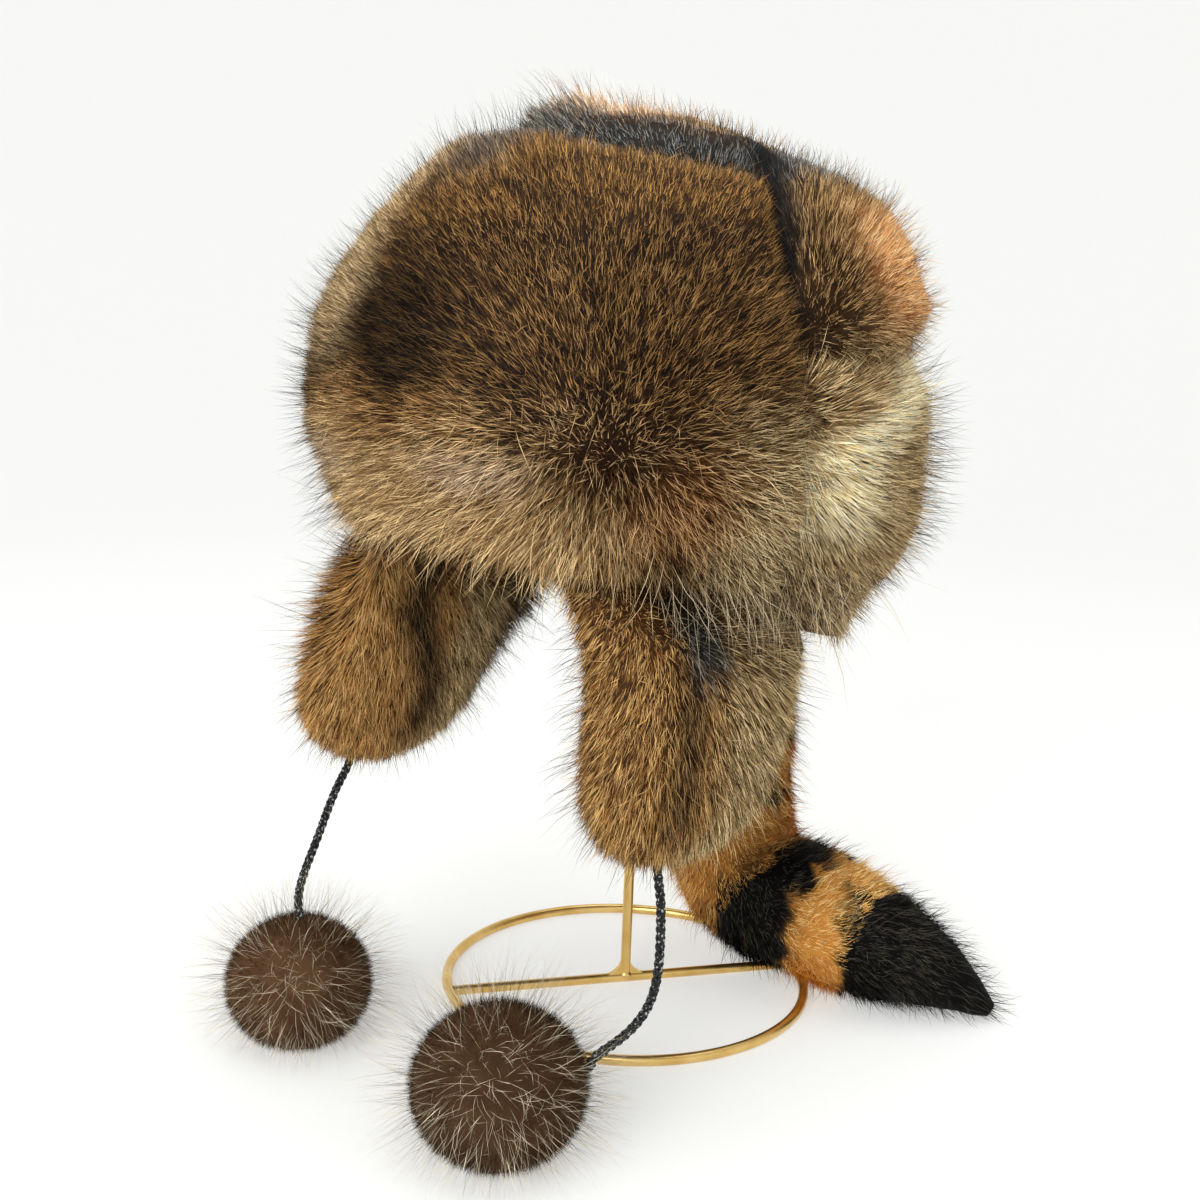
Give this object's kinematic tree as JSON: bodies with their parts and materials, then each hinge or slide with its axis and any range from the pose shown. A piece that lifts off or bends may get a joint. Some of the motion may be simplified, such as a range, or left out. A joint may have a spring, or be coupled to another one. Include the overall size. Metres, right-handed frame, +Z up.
{
  "type": "coonskin cap on a wire hat stand",
  "caption": "Fur cap with a front brim panel, ear flaps, a ringed tail and pompoms on cords, resting on a plain round wire hat stand.",
  "frame": {"origin": "on the floor, at the middle of the stand's ring, under the post", "axes": "+Z up, the cap's front faces -Y, the wearer's left is +X"},
  "size_m": [0.2766, 0.3295, 0.4257],
  "materials": {
    "gold_wire": "satin gold plating on wire",
    "hide": "dark lined pelt",
    "fur_brown": "raccoon fur, brown with dark tips",
    "fur_tan": "raccoon fur, tan with pale tips",
    "fur_dark": "raccoon tail fur in tan and black rings",
    "cord_black": "braided cord",
    "pompom_fur": "brown fur with cream guard hairs"
  },
  "bodies": {
    "root": {"wire_stand": "gold_wire", "cap_wall": "hide", "front_panel": "fur_brown", "crown_panel": "fur_tan", "neck_cuff": "fur_brown", "ear_flap_left": "fur_brown", "ear_flap_right": "fur_brown", "tail": "fur_dark", "cord_left": "cord_black", "cord_right": "cord_black", "pompom_left": "pompom_fur", "pompom_right": "pompom_fur"}
  },
  "joints": []
}
